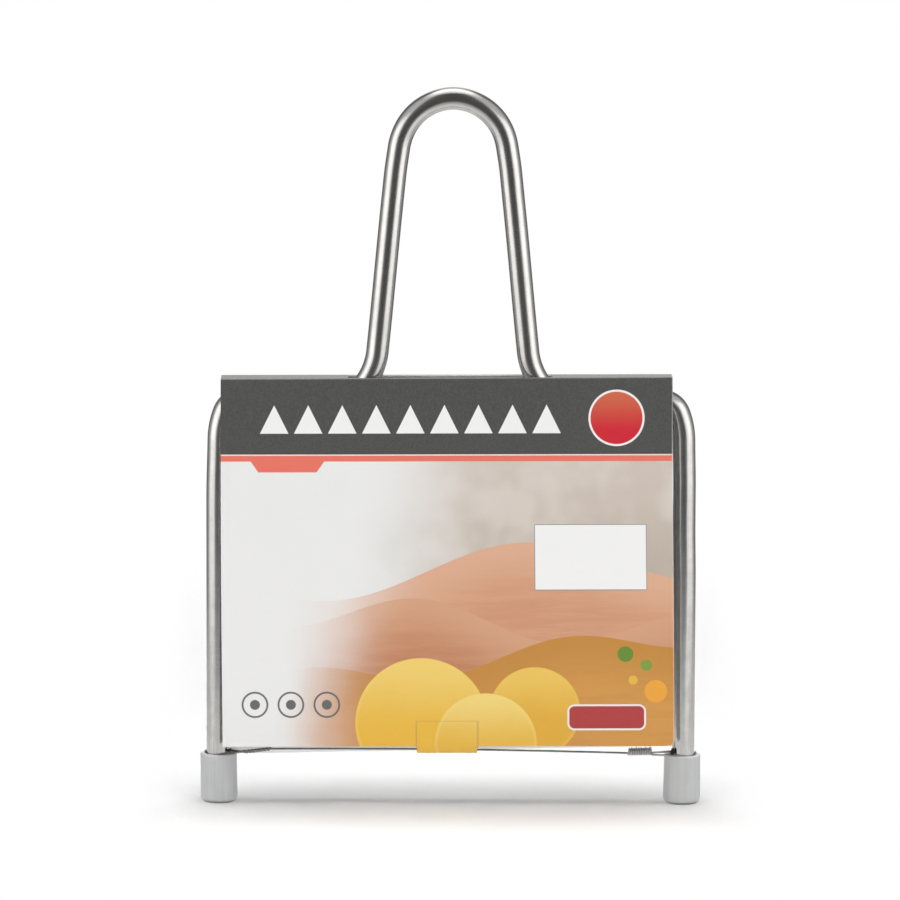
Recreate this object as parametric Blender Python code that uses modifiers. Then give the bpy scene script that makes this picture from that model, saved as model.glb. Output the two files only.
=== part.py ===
"""A wire cheese cutter standing on its foot caps, with a folded card sleeve over its shoulders.

Units are metres and +Z is up. The front of the sleeve faces -Y. The origin lies on the resting
surface, midway between the feet. A rod bent from one length makes the handle, the shoulders and
the legs. The wire is looped round both legs, and it can be lifted from notch to notch.
"""

import math

import bmesh
import bpy
from mathutils import Matrix, Vector

# Clearance kept between pieces that seat on each other
SEAT_GAP = 0.0003

# Rod: its overall size, and the centre line of its bends
HEIGHT = 0.1913
LEG_SPREAD = 0.124
SHOULDER_HEIGHT = 0.1083
ROD_DIAMETER = 0.006
ARCH_RADIUS = 0.01443
HANDLE_LEAN = math.radians(5.91)
BASE_UPPER_RADIUS = 0.018
BASE_UPPER_TURN = math.radians(38.9)
BASE_LOWER_RADIUS = 0.007
CORNER_UPPER_RADIUS = 0.0055
CORNER_LOWER_RADIUS = 0.021
CORNER_LOWER_TURN = math.radians(20.6)
BEND_STEP = math.radians(8.0)
ROD_BEVEL_RESOLUTION = 5

# Notches across the rear of each leg, which hold the loops of the wire at a height
NOTCH_COUNT = 12
NOTCH_PITCH = 0.004
NOTCH_DEPTH = 0.00065

# Foot caps
FOOT_HEIGHT = 0.0129
FOOT_TOP_DIAMETER = 0.0097
FOOT_BOTTOM_DIAMETER = 0.0099
FOOT_FLOOR = 0.0022
FOOT_TOP_ROUNDING = 0.0004
FOOT_BOTTOM_ROUNDING = 0.0015
FOOT_MOUTH_CHAMFER = 0.0002
FOOT_SEGMENTS = 48

# Cutting wire: a loop round each leg, with the end wrapped back round the wire
WIRE_DIAMETER = 0.0005
WRAP_PITCH = 0.00095
WRAP_CLEARANCE = 0.00047
LEFT_WRAP_TURNS = 7
RIGHT_WRAP_TURNS = 6
LEFT_WRAP_REACH = 0.0071
RIGHT_WRAP_REACH = 0.0085
LEFT_WRAP_RISE = 0.00035
RIGHT_WRAP_RISE = -0.00030
WIRE_BOW = 0.0005
POINTS_PER_CURL = 10
POINTS_PER_LOOP = 24
STRAND_POINTS = 8
RUN_POINTS = 14
WIRE_BEVEL_RESOLUTION = 1

# Card sleeve: one sheet with two creases, cut to the frame, that flares to pass the foot caps
CARD_THICKNESS = 0.0004
SLEEVE_INSET = 0.00225
SLEEVE_SHIFT = -0.0009
SLEEVE_CLEARANCE = 0.0009
FOOT_CLEARANCE = 0.00025
SPINE_ABOVE_SHOULDER = 0.0061
CREASE_RADIUS = 0.0006
FRONT_EDGE_ABOVE_WIRE = 0.0022
BACK_EDGE_BELOW_WIRE = 0.00135
SLOT_BACK_DROP = 0.00005

# Tongue of the front panel, which hangs from its own crease in front of the wire
TONGUE_WIDTH = 0.0163
TONGUE_CREASE_RISE = 0.00695
TONGUE_LENGTH = 0.00895
TONGUE_CURL_RADIUS = 0.0022
TONGUE_CURL_TURN = math.radians(75.0)

ROD_RADIUS = ROD_DIAMETER / 2
LEG_X = LEG_SPREAD / 2
WIRE_RADIUS = WIRE_DIAMETER / 2
LOOP_RADIUS = ROD_RADIUS + SEAT_GAP + WIRE_RADIUS
LOOP_HEIGHT = FOOT_HEIGHT + SEAT_GAP + WIRE_RADIUS
WRAP_RADIUS = WIRE_DIAMETER + WRAP_CLEARANCE
ROD_END_HEIGHT = FOOT_FLOOR + SEAT_GAP
SLEEVE_LEFT = SLEEVE_SHIFT - LEG_X + SLEEVE_INSET
SLEEVE_RIGHT = SLEEVE_SHIFT + LEG_X - SLEEVE_INSET
SLEEVE_TOP = SHOULDER_HEIGHT + SPINE_ABOVE_SHOULDER
SPINE_DEPTH = ROD_DIAMETER + 2 * (SLEEVE_CLEARANCE + CARD_THICKNESS)
FRONT_EDGE = LOOP_HEIGHT + FRONT_EDGE_ABOVE_WIRE
BACK_EDGE = LOOP_HEIGHT - BACK_EDGE_BELOW_WIRE
HEM_DEPTH = FOOT_BOTTOM_DIAMETER + 2 * (FOOT_CLEARANCE + CARD_THICKNESS)
SLEEVE_FLARE = math.atan((HEM_DEPTH - SPINE_DEPTH) / 2 / (SLEEVE_TOP - BACK_EDGE))
TONGUE_CREASE = FRONT_EDGE + TONGUE_CREASE_RISE
CUT_MARGIN = 0.002


def remove_everything():
    for obj in list(bpy.data.objects):
        bpy.data.objects.remove(obj, do_unlink=True)


def new_collection(name):
    collection = bpy.data.collections.new(name)
    bpy.context.scene.collection.children.link(collection)
    return collection


def new_material(name, colour, roughness, metallic=0.0):
    material = bpy.data.materials.new(name)
    material.use_nodes = True
    shader = material.node_tree.nodes["Principled BSDF"]
    shader.inputs["Base Color"].default_value = (*colour, 1.0)
    shader.inputs["Roughness"].default_value = roughness
    shader.inputs["Metallic"].default_value = metallic
    return material


def add_object(name, mesh, collection, material=None):
    obj = bpy.data.objects.new(name, mesh)
    collection.objects.link(obj)
    if material:
        mesh.materials.append(material)
    return obj


def add_cutter(name, bm, collection):
    mesh = bpy.data.meshes.new(name)
    bm.to_mesh(mesh)
    bm.free()
    cutter = add_object(name, mesh, collection)
    cutter.hide_render = True
    cutter.display_type = "WIRE"
    return cutter


def cut(obj, cutter):
    boolean = obj.modifiers.new(cutter.name, "BOOLEAN")
    boolean.operation = "DIFFERENCE"
    boolean.solver = "EXACT"
    boolean.object = cutter


def smooth(mesh, angle=math.radians(35)):
    mesh.shade_smooth()
    mesh.set_sharp_from_angle(angle=angle)


def place(obj, origin, parent=None):
    """Moves the object's origin to a point of the world, leaving its mesh where it is."""
    obj.data.transform(Matrix.Translation(-origin))
    obj.location = origin
    if parent:
        obj.parent = parent
        obj.location = origin - parent.matrix_world.translation
    bpy.context.view_layer.update()


def box_bmesh(low, high):
    bm = bmesh.new()
    bmesh.ops.create_cube(bm, size=1.0)
    low = Vector(low)
    high = Vector(high)
    bmesh.ops.scale(bm, vec=high - low, verts=bm.verts)
    bmesh.ops.translate(bm, vec=(low + high) / 2, verts=bm.verts)
    return bm


def bend(path, heading, radius, turn):
    """Adds an arc to a flat path and returns the new heading. A positive turn is anticlockwise."""
    side = math.copysign(1.0, turn)
    centre = path[-1] + side * radius * Vector((-math.sin(heading), math.cos(heading)))
    steps = max(2, math.ceil(abs(turn) / BEND_STEP))
    for step in range(1, steps + 1):
        angle = heading + turn * step / steps
        path.append(centre - side * radius * Vector((-math.sin(angle), math.cos(angle))))
    return heading + turn


def bezier(start, start_handle, end_handle, end, count):
    """Points of one cubic span, without its two ends."""
    points = []
    for step in range(1, count + 1):
        t = step / (count + 1)
        u = 1.0 - t
        points.append(u**3 * start + 3 * u * u * t * start_handle + 3 * u * t * t * end_handle + t**3 * end)
    return points


def tube_mesh(name, points, radius, resolution):
    """A tube along the points, with its caps welded on."""
    curve = bpy.data.curves.new(name, "CURVE")
    curve.dimensions = "3D"
    curve.bevel_depth = radius
    curve.bevel_resolution = resolution
    curve.use_fill_caps = True
    spline = curve.splines.new("POLY")
    spline.points.add(len(points) - 1)
    for spline_point, point in zip(spline.points, points):
        spline_point.co = (*point, 1.0)
    guide = bpy.data.objects.new(name + "_guide", curve)
    bpy.context.scene.collection.objects.link(guide)
    graph = bpy.context.evaluated_depsgraph_get()
    mesh = bpy.data.meshes.new_from_object(guide.evaluated_get(graph))
    mesh.transform(guide.matrix_world)
    bpy.data.objects.remove(guide, do_unlink=True)
    bm = bmesh.new()
    bm.from_mesh(mesh)
    bmesh.ops.remove_doubles(bm, verts=bm.verts, dist=1e-6)
    bmesh.ops.recalc_face_normals(bm, faces=bm.faces)
    bm.to_mesh(mesh)
    bm.free()
    mesh.name = name
    smooth(mesh)
    return mesh


def base_bend_drop():
    """How far the handle's base bends fall from the straight side to the shoulder."""
    between = math.sin(HANDLE_LEAN + BASE_UPPER_TURN)
    upper = BASE_UPPER_RADIUS * (between - math.sin(HANDLE_LEAN))
    lower = BASE_LOWER_RADIUS * (1.0 - between)
    return upper + lower


def corner_reach():
    """How far the corner bend reaches along the shoulder from the leg's centre line."""
    lower = CORNER_LOWER_RADIUS * (1.0 - math.cos(CORNER_LOWER_TURN))
    upper = CORNER_UPPER_RADIUS * math.cos(CORNER_LOWER_TURN)
    return lower + upper


def half_rod_path():
    """Centre line in X and Z, from the top of the handle to the end of the right leg."""
    path = [Vector((0.0, HEIGHT - ROD_RADIUS))]
    heading = bend(path, 0.0, ARCH_RADIUS, HANDLE_LEAN - math.pi / 2)
    drop = path[-1].y - SHOULDER_HEIGHT - base_bend_drop()
    downwards = Vector((math.tan(HANDLE_LEAN), -1.0))
    path.append(path[-1] + drop * downwards)
    heading = bend(path, heading, BASE_UPPER_RADIUS, BASE_UPPER_TURN)
    heading = bend(path, heading, BASE_LOWER_RADIUS, -heading)
    path.append(Vector((LEG_X - corner_reach(), SHOULDER_HEIGHT)))
    heading = bend(path, heading, CORNER_UPPER_RADIUS, CORNER_LOWER_TURN - math.pi / 2)
    bend(path, heading, CORNER_LOWER_RADIUS, -CORNER_LOWER_TURN)
    path.append(Vector((LEG_X, ROD_END_HEIGHT)))
    return path


def slot_half_length():
    """Where the rod's base bend rises to the underside of the sleeve's spine, less the gap."""
    straight_x = ARCH_RADIUS / math.cos(HANDLE_LEAN)
    arch_height = HEIGHT - ROD_RADIUS - ARCH_RADIUS
    bend_top = SHOULDER_HEIGHT + base_bend_drop()
    bend_x = straight_x + (arch_height - bend_top) * math.tan(HANDLE_LEAN)
    centre_x = bend_x + BASE_UPPER_RADIUS * math.cos(HANDLE_LEAN)
    centre_z = bend_top + BASE_UPPER_RADIUS * math.sin(HANDLE_LEAN)
    hollow_radius = BASE_UPPER_RADIUS - ROD_RADIUS
    depth = centre_z - (SLEEVE_TOP - CARD_THICKNESS - SEAT_GAP)
    return centre_x - math.sqrt(hollow_radius**2 - depth**2)


def build_notch_cutter(cutters):
    """A row of four-sided bars, each lying on edge across the rear of a leg."""
    bm = bmesh.new()
    half_diagonal = 2 * NOTCH_DEPTH
    on_edge = Matrix.Rotation(math.pi / 2, 4, "Y")
    for side in (-1, 1):
        for number in range(NOTCH_COUNT):
            height = LOOP_HEIGHT + number * NOTCH_PITCH
            centre = Vector((side * LEG_X, ROD_RADIUS - NOTCH_DEPTH + half_diagonal, height))
            bmesh.ops.create_cone(
                bm,
                cap_ends=True,
                segments=4,
                radius1=half_diagonal,
                radius2=half_diagonal,
                depth=ROD_DIAMETER,
                matrix=Matrix.Translation(centre) @ on_edge,
            )
    return add_cutter("notch_cutter", bm, cutters)


def build_rod(parts, cutters, material):
    right = [Vector((point.x, 0.0, point.y)) for point in half_rod_path()]
    left = [Vector((-point.x, 0.0, point.z)) for point in reversed(right[1:])]
    mesh = tube_mesh("frame_rod", left + right, ROD_RADIUS, ROD_BEVEL_RESOLUTION)
    rod = add_object("frame_rod", mesh, parts, material)
    cut(rod, build_notch_cutter(cutters))
    return rod


def rounded_corner(corner, radius, start_angle):
    """Quarter circle of a turned profile, from its start angle clockwise. The corner is its box's."""
    steps = 5
    points = []
    for step in range(steps + 1):
        angle = start_angle - math.pi / 2 * step / steps
        points.append(corner + radius * Vector((math.cos(angle), math.sin(angle))))
    return points


def foot_profile():
    """Half section in X and Z, from the middle of the bore's floor to the middle of the base."""
    bore = ROD_RADIUS + SEAT_GAP
    top = FOOT_TOP_DIAMETER / 2
    bottom = FOOT_BOTTOM_DIAMETER / 2
    profile = [
        Vector((0.0, FOOT_FLOOR)),
        Vector((bore, FOOT_FLOOR)),
        Vector((bore, FOOT_HEIGHT - FOOT_MOUTH_CHAMFER)),
        Vector((bore + FOOT_MOUTH_CHAMFER, FOOT_HEIGHT)),
    ]
    top_centre = Vector((top - FOOT_TOP_ROUNDING, FOOT_HEIGHT - FOOT_TOP_ROUNDING))
    bottom_centre = Vector((bottom - FOOT_BOTTOM_ROUNDING, FOOT_BOTTOM_ROUNDING))
    profile += rounded_corner(top_centre, FOOT_TOP_ROUNDING, math.pi / 2)
    profile += rounded_corner(bottom_centre, FOOT_BOTTOM_ROUNDING, 0.0)
    profile.append(Vector((0.0, 0.0)))
    return profile


def build_foot(name, x, parts, material):
    mesh = bpy.data.meshes.new(name)
    profile = foot_profile()
    points = [(point.x, 0.0, point.y) for point in profile]
    edges = [(number, number + 1) for number in range(len(points) - 1)]
    mesh.from_pydata(points, edges, [])
    foot = add_object(name, mesh, parts, material)
    foot.location = (x, 0.0, 0.0)
    screw = foot.modifiers.new("turn", "SCREW")
    screw.axis = "Z"
    screw.angle = 2 * math.pi
    screw.steps = FOOT_SEGMENTS
    screw.render_steps = FOOT_SEGMENTS
    screw.use_merge_vertices = True
    screw.merge_threshold = 1e-6
    screw.use_smooth_shade = True
    return foot


def wire_end(side, reach, turns, rise):
    """Points of one looped end, from its free tip to where the plain run of the wire starts.

    The tip's wraps lie round the wire itself, then the strand leaves them, passes in front of the
    leg, round it and behind it, and comes back as the core of the wraps.
    """
    leg = Vector((side * LEG_X, 0.0, LOOP_HEIGHT))
    outer = Vector((side * (LEG_X - reach), 0.0, LOOP_HEIGHT))
    inner = outer + Vector((-side * turns * WRAP_PITCH, 0.0, rise))
    wraps = []
    for step in range(turns * POINTS_PER_CURL + 1):
        t = step / (turns * POINTS_PER_CURL)
        angle = math.pi / 2 - 2 * math.pi * turns * t
        around = Vector((0.0, math.cos(angle), math.sin(angle)))
        wraps.append(outer.lerp(inner, t) + WRAP_RADIUS * around)

    touch = math.acos(LOOP_RADIUS / reach)
    steps = math.ceil(POINTS_PER_LOOP * (math.pi - touch) / math.pi)
    loop = []
    for step in range(steps + 1):
        angle = touch + 2 * (math.pi - touch) * step / steps
        loop.append(leg + LOOP_RADIUS * Vector((-side * math.cos(angle), math.sin(angle), 0.0)))
    rear = loop[0]
    front = loop[-1]

    away = Vector((-side * math.sin(touch), math.cos(touch), 0.0))
    across = Vector((-side * WRAP_PITCH, 2 * math.pi * WRAP_RADIUS, 0.0)).normalized()
    front_handle = front + reach / 3 * away
    wrap_handle = wraps[0] - reach / 5 * across
    returning = bezier(wraps[0], wrap_handle, front_handle, front, STRAND_POINTS)
    rear_handle = rear + reach / 3 * Vector((away.x, -away.y, 0.0))
    core_handle = outer + reach / 5 * Vector((side, 0.0, 0.0))
    leading = bezier(rear, rear_handle, core_handle, outer, STRAND_POINTS)
    return wraps[::-1] + returning + loop[::-1] + leading + [outer, inner]


def least_gap(points):
    """Smallest gap from the tube to itself, leaving out what lies within one wrap along it."""
    skip = 2.5 * WRAP_RADIUS
    along = [0.0]
    for first, second in zip(points, points[1:]):
        along.append(along[-1] + (second - first).length)
    least = math.inf
    for number, point in enumerate(points):
        for other in range(len(points) - 1):
            if along[other] - skip < along[number] < along[other + 1] + skip:
                continue
            start = points[other]
            run = points[other + 1] - start
            t = min(1.0, max(0.0, (point - start).dot(run) / run.length_squared))
            least = min(least, (start + t * run - point).length)
    return least - WIRE_DIAMETER


def build_wire(parts, material):
    left = wire_end(-1, LEFT_WRAP_REACH, LEFT_WRAP_TURNS, LEFT_WRAP_RISE)
    right = wire_end(1, RIGHT_WRAP_REACH, RIGHT_WRAP_TURNS, RIGHT_WRAP_RISE)
    run = []
    for step in range(1, RUN_POINTS + 1):
        t = step / (RUN_POINTS + 1)
        run.append(left[-1].lerp(right[-1], t) + Vector((0.0, 0.0, 4 * WIRE_BOW * t * (1 - t))))
    points = left + run + right[::-1]
    print(f"cutting wire: least gap to itself {1000 * least_gap(points):.3f} mm")
    mesh = tube_mesh("cutting_wire", points, WIRE_RADIUS, WIRE_BEVEL_RESOLUTION)
    wire = add_object("cutting_wire", mesh, parts, material)
    place(wire, Vector((0.0, 0.0, LOOP_HEIGHT)))
    return wire


def panel_face(height):
    """Distance of a panel's outer face from the middle of the sleeve, at a height."""
    return SPINE_DEPTH / 2 + (SLEEVE_TOP - height) * math.tan(SLEEVE_FLARE)


def sheet_object(name, profile, left, right, parts, material):
    """A bent sheet of card: the profile is its outer face in Y and Z, and the card lies inside it."""
    bm = bmesh.new()
    rows = [[bm.verts.new((x, point.x, point.y)) for point in profile] for x in (left, right)]
    for number in range(len(profile) - 1):
        near, far = rows
        bm.faces.new((near[number], near[number + 1], far[number + 1], far[number]))
    bmesh.ops.recalc_face_normals(bm, faces=bm.faces)
    mesh = bpy.data.meshes.new(name)
    bm.to_mesh(mesh)
    bm.free()
    smooth(mesh)
    sheet = add_object(name, mesh, parts, material)
    solidify = sheet.modifiers.new("card", "SOLIDIFY")
    solidify.thickness = CARD_THICKNESS
    solidify.use_even_offset = True
    inward = profile[1] - profile[0]
    inward = Vector((0.0, inward.y, -inward.x))
    solidify.offset = -1.0 if mesh.polygons[0].normal.dot(inward) < 0 else 1.0
    return sheet


def sleeve_profile():
    """Outer face in Y and Z, up the front, across the spine and down the back."""
    turn = math.pi / 2 - SLEEVE_FLARE
    tangent = CREASE_RADIUS * math.tan(turn / 2)
    upwards = Vector((math.sin(SLEEVE_FLARE), math.cos(SLEEVE_FLARE)))
    path = [
        Vector((-panel_face(FRONT_EDGE), FRONT_EDGE)),
        Vector((-SPINE_DEPTH / 2, SLEEVE_TOP)) - tangent * upwards,
    ]
    heading = bend(path, turn, CREASE_RADIUS, -turn)
    path.append(Vector((SPINE_DEPTH / 2 - tangent, SLEEVE_TOP)))
    bend(path, heading, CREASE_RADIUS, -turn)
    path.append(Vector((panel_face(BACK_EDGE), BACK_EDGE)))
    return path


def build_sleeve(parts, cutters, material):
    profile = sleeve_profile()
    sleeve = sheet_object("card_sleeve", profile, SLEEVE_LEFT, SLEEVE_RIGHT, parts, material)

    # The slot for the handle runs over the rear crease, so the back panel ends just below it
    half = slot_half_length()
    slot_floor = SLEEVE_TOP - CARD_THICKNESS - SLOT_BACK_DROP
    slot = box_bmesh(
        (-half, -ROD_RADIUS - SEAT_GAP, slot_floor),
        (half, SPINE_DEPTH / 2 + CUT_MARGIN, SLEEVE_TOP + CUT_MARGIN),
    )
    cut(sleeve, add_cutter("handle_slot_cutter", slot, cutters))

    # The tongue's place in the front panel
    half = TONGUE_WIDTH / 2 + SEAT_GAP
    face = panel_face(TONGUE_CREASE)
    place_cut = box_bmesh(
        (SLEEVE_SHIFT - half, -face - CUT_MARGIN, FRONT_EDGE - CUT_MARGIN),
        (SLEEVE_SHIFT + half, -face + CUT_MARGIN, TONGUE_CREASE),
    )
    cut(sleeve, add_cutter("tongue_place_cutter", place_cut, cutters))
    place(sleeve, Vector((0.0, 0.0, SLEEVE_TOP)))
    return sleeve


def build_tongue(parts, sleeve, material):
    """The tongue hangs from its crease in the plane of the front panel, and its end curls inwards."""
    top = TONGUE_CREASE - SEAT_GAP
    curl_start = TONGUE_CREASE - TONGUE_LENGTH + TONGUE_CURL_RADIUS * math.sin(TONGUE_CURL_TURN)
    path = [Vector((-panel_face(top), top)), Vector((-panel_face(curl_start), curl_start))]
    downwards = -math.pi / 2 - SLEEVE_FLARE
    bend(path, downwards, TONGUE_CURL_RADIUS, TONGUE_CURL_TURN)
    left = SLEEVE_SHIFT - TONGUE_WIDTH / 2
    right = SLEEVE_SHIFT + TONGUE_WIDTH / 2
    tongue = sheet_object("closing_tongue", path[::-1], left, right, parts, material)
    crease = Vector((SLEEVE_SHIFT, -panel_face(TONGUE_CREASE), TONGUE_CREASE))
    place(tongue, crease, sleeve)
    return tongue


def main():
    remove_everything()
    parts = new_collection("cheese_knife")
    cutters = new_collection("cutters")
    steel = new_material("satin_steel", (0.60, 0.59, 0.57), 0.28, 1.0)
    wire_steel = new_material("drawn_wire", (0.42, 0.41, 0.40), 0.35, 1.0)
    cap_plastic = new_material("cap_plastic", (0.50, 0.51, 0.50), 0.55)
    card = new_material("coated_card", (0.78, 0.77, 0.74), 0.40)
    tongue_card = new_material("tongue_card", (0.76, 0.50, 0.16), 0.40)

    build_rod(parts, cutters, steel)
    build_foot("foot_cap_left", -LEG_X, parts, cap_plastic)
    build_foot("foot_cap_right", LEG_X, parts, cap_plastic)
    build_wire(parts, wire_steel)
    sleeve = build_sleeve(parts, cutters, card)
    build_tongue(parts, sleeve, tongue_card)


main()
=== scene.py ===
import math

import bmesh
import bpy
from mathutils import Matrix, Vector


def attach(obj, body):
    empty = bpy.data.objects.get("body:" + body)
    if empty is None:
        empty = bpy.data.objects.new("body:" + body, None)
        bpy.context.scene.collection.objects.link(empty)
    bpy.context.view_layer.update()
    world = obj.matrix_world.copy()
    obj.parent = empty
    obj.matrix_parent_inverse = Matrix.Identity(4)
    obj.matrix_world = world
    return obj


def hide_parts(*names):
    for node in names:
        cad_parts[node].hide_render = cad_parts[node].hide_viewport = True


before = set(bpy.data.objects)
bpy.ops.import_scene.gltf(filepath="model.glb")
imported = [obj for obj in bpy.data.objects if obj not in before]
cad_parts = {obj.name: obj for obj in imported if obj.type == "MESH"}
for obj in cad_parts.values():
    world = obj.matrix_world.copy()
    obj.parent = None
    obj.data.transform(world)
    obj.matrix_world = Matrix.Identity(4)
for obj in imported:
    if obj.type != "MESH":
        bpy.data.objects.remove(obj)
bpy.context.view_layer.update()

MM = 0.001

# Sizes in metres. Most are the CAD part's. Those of the feet, the wire, the front panel's lower
# edge and the tongue are fitted to the photo, and differ from it by up to 0.3 mm.
HEIGHT = 0.1913
LEG_X = 0.062
SHOULDER_HEIGHT = 0.1083
ROD_RADIUS = 0.003
ARCH_RADIUS = 0.01443
HANDLE_LEAN = math.radians(5.91)
BASE_UPPER_RADIUS = 0.018
BASE_UPPER_TURN = math.radians(38.9)
BASE_LOWER_RADIUS = 0.007
CORNER_UPPER_RADIUS = 0.0055
CORNER_LOWER_RADIUS = 0.021
CORNER_LOWER_TURN = math.radians(20.6)
ROD_END_HEIGHT = 0.0025
LOOP_HEIGHT = 0.01345
NOTCH_COUNT = 12
NOTCH_PITCH = 0.004
NOTCH_DEPTH = 0.00065
FOOT_HEIGHT = 0.01308
FOOT_TOP_RADIUS = 0.00487
FOOT_BOTTOM_RADIUS = 0.00497
FOOT_BORE_DEPTH = 0.003
WIRE_RADIUS = 0.00027
LOOP_RADIUS = ROD_RADIUS + 0.00028
WIRE_BOW = 0.0017
KNOT_WIRE_RADIUS = 0.00022
KNOT_TURNS = 4
CARD = 0.0004
SLEEVE_LEFT = -0.06065
SLEEVE_RIGHT = 0.05885
SLEEVE_TOP = 0.1144
SPINE_HALF = 0.0043
FLARE = math.radians(0.728)
FRONT_EDGE = 0.01595
BACK_EDGE = 0.0121
SLOT_HALF = 0.0270
SLOT_FRONT = -0.0033
TONGUE_X = -0.00125
TONGUE_HALF = 0.00815
TONGUE_CREASE = 0.02264
TONGUE_BOTTOM = 0.0139
TONGUE_CURL = 0.0022
TONGUE_GAP = 0.00003
CREASE_RADIUS = 0.00045
CARD_TILT = math.radians(0.30)

# Points and sides of the meshes
ROD_SIDES = 64
FOOT_SIDES = 96
WIRE_SIDES = 12
KNOT_SIDES = 10
TURN_POINTS = 28
KNOT_TURN_POINTS = 24
LOOP_POINTS = 48
STRAND_POINTS = 20
RUN_POINTS = 60

# Camera. It looks along +Y, down by the pitch.
CAMERA_PLACE = (-0.0004, -2.0, 0.38444)
CAMERA_LENS = 305.0
CAMERA_PITCH = math.radians(8.242)
CAMERA_ROLL = math.radians(0.2)

# Studio. The world is bright only to the rays that show it, and lights the scene weakly. The
# fades are in millimetres: over them the floor turns to plain white, by distance and by width.
WHITE = (1.0, 1.0, 1.0)
FLOOR_SIZE = 24.0
FLOOR_FADE = (90.0, 420.0)
SIDE_FADE = (66.0, 86.0)
WORLD_LIGHT = 0.03
FLOOR_LIGHT = 0.04
SCREEN_RADIUS = 0.5
SCREEN_HEIGHT = 1.05
SCREEN_SIDES = 120
GLOW_HEIGHT = 1.10
GLOW_RADIANCE = 1.8
LOW_RADIANCE = 1.15
HIGH_RADIANCE = 0.62
UNDER_RADIANCE = 0.85

# Print. The offset in millimetres is added to a place before the design is read there.
PRINT_OFFSET = (0.0, 0.0, -0.2)
PAPER = (0.80, 0.80, 0.79)
RED = (0.80, 0.170, 0.120)

# Its rolling layers: level, height of the waves, rate, phase, slope, tones at the top and the foot
LAYERS = (
    (63.0, 6.5, 0.062, 0.4, 0.05, (0.70, 0.40, 0.26), (0.60, 0.29, 0.17)),
    (50.0, 5.0, 0.085, 2.3, -0.06, (0.63, 0.34, 0.20), (0.50, 0.21, 0.10)),
    (38.0, 3.5, 0.090, 5.1, 0.12, (0.53, 0.240, 0.042), (0.62, 0.295, 0.068)),
)

# Its rounds: place, radius, tone and the paler tone of the upper part
ROUNDS = (
    (22.0, 25.0, 12.0, (0.72, 0.40, 0.040), (0.80, 0.53, 0.10)),
    (-8.0, 22.0, 17.5, (0.78, 0.46, 0.045), (0.84, 0.60, 0.15)),
    (9.0, 16.5, 13.5, (0.76, 0.45, 0.050), (0.85, 0.64, 0.19)),
)

# Its dots: place, radius and tone
DOTS = (
    (46.0, 40.5, 2.1, (0.13, 0.25, 0.03)),
    (51.5, 37.5, 1.5, (0.20, 0.32, 0.05)),
    (54.0, 30.5, 3.0, (0.80, 0.36, 0.04)),
    (48.0, 33.5, 1.2, (0.75, 0.45, 0.06)),
)

# What metal sees round it: bright soft boxes at the sides, dark screens in front and behind. Each
# pair holds an azimuth in degrees and a radiance.
SCREENS = (
    (-180, 0.95), (-166, 0.90), (-156, 0.16), (-140, 0.13), (-122, 0.25), (-106, 0.42),
    (-93, 0.62), (-84, 1.45), (-62, 1.80), (-44, 1.45), (-33, 0.38), (-25, 0.13), (0, 0.085),
    (22, 0.11), (31, 0.36), (41, 1.35), (62, 1.80), (82, 1.50), (92, 0.68), (104, 0.44),
    (122, 0.26), (140, 0.13), (156, 0.16), (166, 0.90), (180, 0.95),
)
NEAR_FLOOR = (
    (-180, 0.64), (-90, 0.64), (-62, 1.00), (-36, 0.62), (-12, 0.46), (14, 0.46), (28, 0.78),
    (43, 1.15), (62, 0.92), (84, 0.66), (180, 0.64),
)


# Meshes

def clamp(value):
    return min(1.0, max(0.0, value))


def ease(value, start, end):
    """Smooth rise from 0 where the value is at start to 1 where it is at end."""
    t = clamp((value - start) / (end - start))
    return t * t * (3.0 - 2.0 * t)


def new_object(name, verts, faces, material, smooth_angle=35.0):
    mesh = bpy.data.meshes.new(name)
    mesh.from_pydata([tuple(v) for v in verts], [], faces)
    mesh.validate()
    obj = bpy.data.objects.new(name, mesh)
    bpy.context.scene.collection.objects.link(obj)
    mesh.shade_smooth()
    mesh.set_sharp_from_angle(angle=math.radians(smooth_angle))
    mesh.materials.append(material)
    return obj


def bend(path, heading, radius, turn, step=math.radians(2.5)):
    """Adds an arc to a path in a plane and returns the heading at its end."""
    side = math.copysign(1.0, turn)
    centre = path[-1] + side * radius * Vector((-math.sin(heading), math.cos(heading)))
    count = max(2, math.ceil(abs(turn) / step))
    for number in range(1, count + 1):
        angle = heading + turn * number / count
        path.append(centre - side * radius * Vector((-math.sin(angle), math.cos(angle))))
    return heading + turn


def run_to(path, end, step):
    """Adds a straight line to a path, in even parts of at most a step."""
    start = path[-1].copy()
    count = max(1, math.ceil((end - start).length / step))
    for number in range(1, count + 1):
        path.append(start.lerp(end, number / count))


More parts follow.
